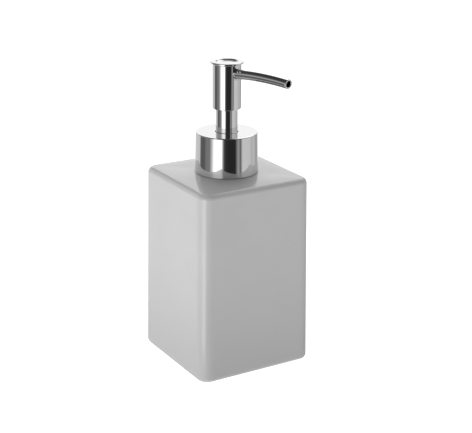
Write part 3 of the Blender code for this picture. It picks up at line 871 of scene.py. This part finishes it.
spout_shape = bmesh.new()
skin(spout_shape, spout_rings(), closed=True)
place_spout = Matrix.Translation((0, 0, spout_level)) @ Matrix.Rotation(spout_turn, 4, "Z")
bmesh.ops.transform(spout_shape, matrix=place_spout, verts=spout_shape.verts)
spout = smooth_piece("bent_spout", spout_shape)
even_shading(spout)
dress(spout, "head", "spout_tube", chrome_finish)

# The head's barrel is drawn from sheet and chrome-plated, with its lower edge rolled in round
# the stem. The spout's hole has a fine rolled edge, which catches the light as a saddle line.
head_low, head_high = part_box("head_shell")
head_radius = (head_high.x - head_low.x) / 2
head_sheet = 0.0005
head_roll = 0.0006
head_top_edge = 0.0002
hole_gap = 0.00015
hole_reach = head_radius * 1.5
bead_radius = 0.00013
bead_sunk_share = 0.35
roll_bore = sleeve_radius + sleeve_clearance
head_outline = [
    (roll_bore, head_low.z + head_sheet),
    (roll_bore, head_low.z + head_sheet / 2),
    *arc(roll_bore + head_sheet / 2, head_low.z + head_sheet / 2, head_sheet / 2, 180, 270, 4),
    *arc(head_radius - head_roll, head_low.z + head_roll, head_roll, -90, 0, 10),
    *arc(head_radius - head_top_edge, head_high.z - head_top_edge, head_top_edge, 0, 90, 4),
    (head_radius - head_sheet, head_high.z),
    (head_radius - head_sheet, head_low.z + head_roll),
    (head_radius - head_roll, head_low.z + head_sheet),
]


def cut_away(made, radius, length, place):
    """Removes a round hole along X, seen in the tool's own place, from a piece."""
    tool_shape = bmesh.new()
    bmesh.ops.create_cone(
        tool_shape, cap_ends=True, segments=64, radius1=radius, radius2=radius, depth=length,
    )
    lay_down = Matrix.Rotation(math.pi / 2 - spout_rise, 4, "Y") @ Matrix.Translation((0, 0, length / 2))
    bmesh.ops.transform(tool_shape, matrix=place @ lay_down, verts=tool_shape.verts)
    tool = smooth_piece("hole_tool", tool_shape)
    change = made.modifiers.new("hole", "BOOLEAN")
    change.operation = "DIFFERENCE"
    change.solver = "EXACT"
    change.object = tool
    bpy.context.view_layer.update()
    graph = bpy.context.evaluated_depsgraph_get()
    result = bpy.data.meshes.new_from_object(made.evaluated_get(graph))
    made.modifiers.remove(change)
    made.data = result
    bpy.data.objects.remove(tool)


def saddle_bead(shape, head, tube, bead, place, around=96, sides=10):
    """A fine round bead where a tube of one radius passes through the side of a larger barrel."""
    rings = []
    for index in range(around):
        angle = math.tau * index / around
        across = Vector((0, math.cos(angle), math.sin(angle)))
        out = math.sqrt(head**2 - (tube * math.cos(angle)) ** 2)
        middle = Vector((out, tube * across.y, tube * across.z))
        away = Vector((out, tube * across.y, 0)).normalized()
        rings.append([middle + (across * math.cos(t) + away * math.sin(t)) * bead
                      for t in (math.tau * side / sides for side in range(sides))])
    before = len(shape.verts)
    skin(shape, rings, closed=True)
    bmesh.ops.transform(shape, matrix=place, verts=list(shape.verts)[before:])


head = turned("head_barrel", head_outline, sides=160)
cut_away(head, spout_radius + hole_gap, hole_reach, place_spout)
head_shape = bmesh.new()
head_shape.from_mesh(head.data)
bead_seat = head_radius - bead_radius * bead_sunk_share
saddle_bead(head_shape, bead_seat, spout_radius + hole_gap, bead_radius, place_spout)
bpy.data.objects.remove(head)
head = smooth_piece("head_barrel", head_shape)
even_shading(head)
dress(head, "head", "head_shell", chrome_finish)

# The push pad is a thin chrome disc with a soft edge. It is very slightly dished, and a spigot
# under it presses into the top of the head.
cap_low, cap_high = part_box("top_cap")
cap_radius = (cap_high.x - cap_low.x) / 2
cap_lift = 0.0002
cap_foot = head_high.z + cap_lift
cap_edge = 0.00045
cap_dish = 0.00075
cap_land = 0.0021
cap_slope = 0.0010
cap_dish_steps = 12
spigot_radius = head_radius - head_sheet - hidden_gap
cap_outline = [
    (0, cap_low.z),
    (spigot_radius, cap_low.z),
    (spigot_radius, cap_foot),
    *arc(cap_radius - cap_edge, cap_foot + cap_edge, cap_edge, -90, 0, 6),
    *arc(cap_radius - cap_edge, cap_high.z - cap_edge, cap_edge, 0, 90, 8),
]
for step in range(cap_dish_steps + 1):
    share = step / cap_dish_steps
    dip = cap_dish * (1 - math.cos(math.pi * share)) / 2
    cap_outline.append((cap_radius - cap_edge - cap_land - cap_slope * share, cap_high.z - dip))
cap_outline.append((0, cap_high.z - cap_dish))
cap = turned("push_pad", cap_outline, sides=160)
even_shading(cap)
dress(cap, "head", "top_cap", chrome_finish)

# The table is white paper, and the studio round it is one world. Mirror images see it in bands of
# brightness, with a tall light to the camera's left and dark flags in front. Everything else gets
# its soft light from a second, smoother set of bands.
table = bpy.data.meshes.new("table")
table_half = 7.0
table_drop = 0.0002
corners = [(-1, -1), (1, -1), (1, 1), (-1, 1)]
table_points = [(x * table_half, y * table_half, -table_drop) for x, y in corners]
table.from_pydata(table_points, [], [(0, 1, 2, 3)])
table_object = bpy.data.objects.new("table", table)
bpy.context.scene.collection.objects.link(table_object)

camera_bearing = math.radians(-120.6)
studio_gain = 3.0
mirror_strength = 3.8
near_horizon = [
    (-180, 0.93), (-170, 0.85), (-162, 0.62), (-150, 0.58), (-116, 0.57), (-108, 0.10), (-88, 0.10),
    (-80, 0.18), (-64, 0.19), (-56, 0.50), (-48, 1.0), (-43, 1.9), (-21, 1.9), (-17, 1.0), (-14, 0.45),
    (-10, 0.10), (-6, 0.04), (2, 0.02), (32, 0.02), (38, 0.16), (44, 0.32), (53, 0.10), (58, 0.45),
    (62, 0.58), (95, 0.56), (104, 0.44), (116, 0.52), (132, 0.36), (147, 0.33), (158, 0.60), (170, 0.85),
    (180, 0.93),
]
under_horizon = [
    (-180, 0.50), (-130, 0.46), (-105, 0.38), (-60, 0.34), (-30, 0.36), (30, 0.24), (80, 0.40), (180, 0.50),
]
at_horizon = [
    (-180, 0.93), (-166, 0.88), (-158, 0.70), (-150, 0.60), (-124, 0.50), (-112, 0.34), (-70, 0.31),
    (-56, 0.50), (-48, 1.0), (-42, 1.15), (-22, 1.15), (-17, 1.0), (-14, 0.45), (-10, 0.10), (-6, 0.04),
    (32, 0.02), (38, 0.16), (44, 0.32), (53, 0.10), (58, 0.45), (62, 0.58), (95, 0.56), (116, 0.52),
    (132, 0.40), (158, 0.60), (168, 0.88), (180, 0.93),
]
above_horizon = [
    (-180, 1.25), (-164, 1.2), (-156, 0.55), (-116, 0.45), (-108, 0.10), (-62, 0.08), (-40, 0.05),
    (-14, 0.03), (35, 0.03), (60, 0.06), (100, 0.15), (140, 0.40), (156, 0.60), (164, 1.2), (180, 1.25),
]
overhead = [
    (-180, 1.5), (-168, 1.4), (-158, 0.05), (-85, 0.03), (60, 0.05), (95, 0.3), (125, 1.0), (150, 1.5),
    (180, 1.5),
]
table_light = [
    (-180, 0.4), (-120, 0.72), (-60, 1.30), (-25, 1.60), (10, 0.74), (60, 0.55), (90, 0.55), (140, 0.4),
    (180, 0.4),
]
wall_light = [
    (-180, 2.0), (-130, 1.2), (-100, 0.16), (-50, 0.12), (50, 0.08), (100, 0.16), (130, 1.2), (180, 2.0),
]
back_light = [
    (-180, 1.25), (-146, 1.25), (-128, 0.6), (-60, 0.65), (0, 0.26), (60, 0.26), (128, 0.5),
    (146, 1.25), (180, 1.25),
]
soft_gain = 6.0
# Each pair is a span of the sine of the elevation in which one set of bands gives way to the next.
under_to_near = (-0.62, -0.50)
near_to_level = (-0.16, -0.02)
level_to_high = (0.279, 0.296)
high_to_top = (0.42, 0.60)
top_to_dark = (0.88, 0.94)
mirrored_zenith = (0.02, 0.02, 0.02)
table_to_wall = (-0.05, 0.10)
wall_to_back = (0.22, 0.46)
back_to_dark = (0.86, 0.94)
soft_zenith = (0.01, 0.01, 0.01)
table_pool = 0.075
table_glow = 0.85
paper_tone = (0.90, 0.90, 0.90)
paper_fleck_tone = (0.88, 0.88, 0.88)


def choose_shader(tree, mask, first, second):
    """One shader where the mask is 0 and the other where it is 1."""
    node = tree.nodes.new("ShaderNodeMixShader")
    for index, socket in enumerate((mask, first, second)):
        tree.links.new(socket, node.inputs[index])
    return node.outputs["Shader"]


def studio_ramp(tree, share, bands, gain=studio_gain):
    """Brightness by bearing, in degrees to the right of the line from the object to the camera."""
    node = tree.nodes.new("ShaderNodeValToRGB")
    tree.links.new(share, node.inputs["Fac"])
    stops = node.color_ramp.elements
    stops[0].position = 0
    stops[1].position = 1
    for degrees, _ in bands[1:-1]:
        stops.new((degrees + 180) / 360)
    for stop, (_, brightness) in zip(sorted(stops, key=lambda s: s.position), bands):
        level = brightness / gain
        stop.color = (level, level, level, 1)
    return node.outputs["Color"]


def table_paper():
    """White paper, seen by the camera, and by mirrors near the bottle. Soft light passes through it."""
    finish, tree, shader = plain_finish("table_paper")
    grain = place_group(tree, fine_specks, {"Specks per metre": 300, "Speck size": 0.2})
    tone = mix_colours(tree, grain.outputs["Mask"], paper_tone, paper_fleck_tone)
    tree.links.new(tone, shader.inputs["Base Color"])
    shader.inputs["Roughness"].default_value = 0.9
    paths = tree.nodes.new("ShaderNodeLightPath").outputs
    seen = paths["Is Camera Ray"]
    shader.inputs["Emission Color"].default_value = (1, 1, 1, 1)
    tree.links.new(math_node(tree, "MULTIPLY", seen, table_glow), shader.inputs["Emission Strength"])
    distance = tree.nodes.new("ShaderNodeVectorMath")
    distance.operation = "LENGTH"
    tree.links.new(tree.nodes.new("ShaderNodeTexCoord").outputs["Object"], distance.inputs[0])
    beyond = spread(tree, distance.outputs["Value"], table_pool * 0.6, table_pool * 1.4, 0, 1)
    close_by = math_node(tree, "SUBTRACT", 1.0, beyond)
    mirrored_here = math_node(tree, "MULTIPLY", paths["Is Glossy Ray"], close_by)
    unseen = math_node(tree, "SUBTRACT", math_node(tree, "SUBTRACT", 1.0, seen), mirrored_here)
    clear = tree.nodes.new("ShaderNodeBsdfTransparent").outputs["BSDF"]
    both = choose_shader(tree, unseen, shader.outputs["BSDF"], clear)
    tree.links.new(both, tree.nodes["Material Output"].inputs["Surface"])
    return finish


def background(tree, colour, strength):
    """A background shader from a plain colour or a socket."""
    node = tree.nodes.new("ShaderNodeBackground")
    if isinstance(colour, bpy.types.NodeSocket):
        tree.links.new(colour, node.inputs["Color"])
    else:
        node.inputs["Color"].default_value = (*colour, 1)
    node.inputs["Strength"].default_value = strength
    return node.outputs["Background"]


def studio_world():
    """White to the camera, banded to mirrors and smooth to everything else."""
    world = bpy.data.worlds.new("studio")
    world.use_nodes = True
    tree = world.node_tree
    tree.nodes.remove(tree.nodes["Background"])
    look = tree.nodes.new("ShaderNodeTexCoord").outputs["Generated"]
    parts = tree.nodes.new("ShaderNodeSeparateXYZ")
    tree.links.new(look, parts.inputs["Vector"])
    height = parts.outputs["Z"]
    bearing = math_node(tree, "ARCTAN2", parts.outputs["Y"], parts.outputs["X"])
    from_camera = math_node(tree, "DIVIDE", math_node(tree, "SUBTRACT", bearing, camera_bearing), math.tau)
    share = math_node(tree, "FRACT", math_node(tree, "ADD", from_camera, 0.5))
    under = studio_ramp(tree, share, under_horizon)
    low = studio_ramp(tree, share, near_horizon)
    level = studio_ramp(tree, share, at_horizon)
    high = studio_ramp(tree, share, above_horizon)
    top = studio_ramp(tree, share, overhead)
    sides = mix_colours(tree, spread(tree, height, *under_to_near, 0, 1), under, low)
    sides = mix_colours(tree, spread(tree, height, *near_to_level, 0, 1), sides, level)
    sides = mix_colours(tree, spread(tree, height, *level_to_high, 0, 1), sides, high)
    mirrored = mix_colours(tree, spread(tree, height, *high_to_top, 0, 1), sides, top)
    mirrored = mix_colours(tree, spread(tree, height, *top_to_dark, 0, 1), mirrored, mirrored_zenith)
    table_side = studio_ramp(tree, share, table_light, soft_gain)
    back_side = studio_ramp(tree, share, back_light, soft_gain)
    fill = studio_ramp(tree, share, wall_light, soft_gain)
    soft = mix_colours(tree, spread(tree, height, *table_to_wall, 0, 1), table_side, fill)
    soft = mix_colours(tree, spread(tree, height, *wall_to_back, 0, 1), soft, back_side)
    soft = mix_colours(tree, spread(tree, height, *back_to_dark, 0, 1), soft, soft_zenith)
    paths = tree.nodes.new("ShaderNodeLightPath").outputs
    glossy_or_soft = choose_shader(tree, paths["Is Glossy Ray"], background(tree, soft, soft_gain),
                                   background(tree, mirrored, mirror_strength))
    everything = choose_shader(tree, paths["Is Camera Ray"], glossy_or_soft, background(tree, (1, 1, 1), 1))
    tree.links.new(everything, tree.nodes["World Output"].inputs["Surface"])
    return world


table.materials.append(table_paper())
bpy.context.scene.world = studio_world()
bpy.context.scene.view_settings.view_transform = "Standard"

# The camera stands where the photograph was taken from: in front and to the left, looking a
# little down, with a long lens.
photo_width_px = 472
focal_px = 1266.4
sensor_width = 36.0
look_yaw = math.radians(30.96)
look_down = math.radians(19.01)
camera_roll = 0.007
aim_point = Vector((0.00286, -0.00514, 0.07727))
aim_distance = 0.66382
camera_data = bpy.data.cameras.new("camera")
camera_data.sensor_width = sensor_width
camera_data.lens = focal_px * sensor_width / photo_width_px
camera_data.clip_start = 0.01
camera = bpy.data.objects.new("camera", camera_data)
bpy.context.scene.collection.objects.link(camera)
ahead = Vector((
    math.sin(look_yaw) * math.cos(look_down),
    math.cos(look_yaw) * math.cos(look_down),
    -math.sin(look_down),
))
level_right = Vector((math.cos(look_yaw), -math.sin(look_yaw), 0))
level_up = level_right.cross(ahead)
right = level_right * math.cos(camera_roll) + level_up * math.sin(camera_roll)
up = right.cross(ahead)
turn_camera = Matrix((right, up, -ahead)).transposed().to_4x4()
camera.matrix_world = Matrix.Translation(aim_point - ahead * aim_distance) @ turn_camera
bpy.context.scene.camera = camera
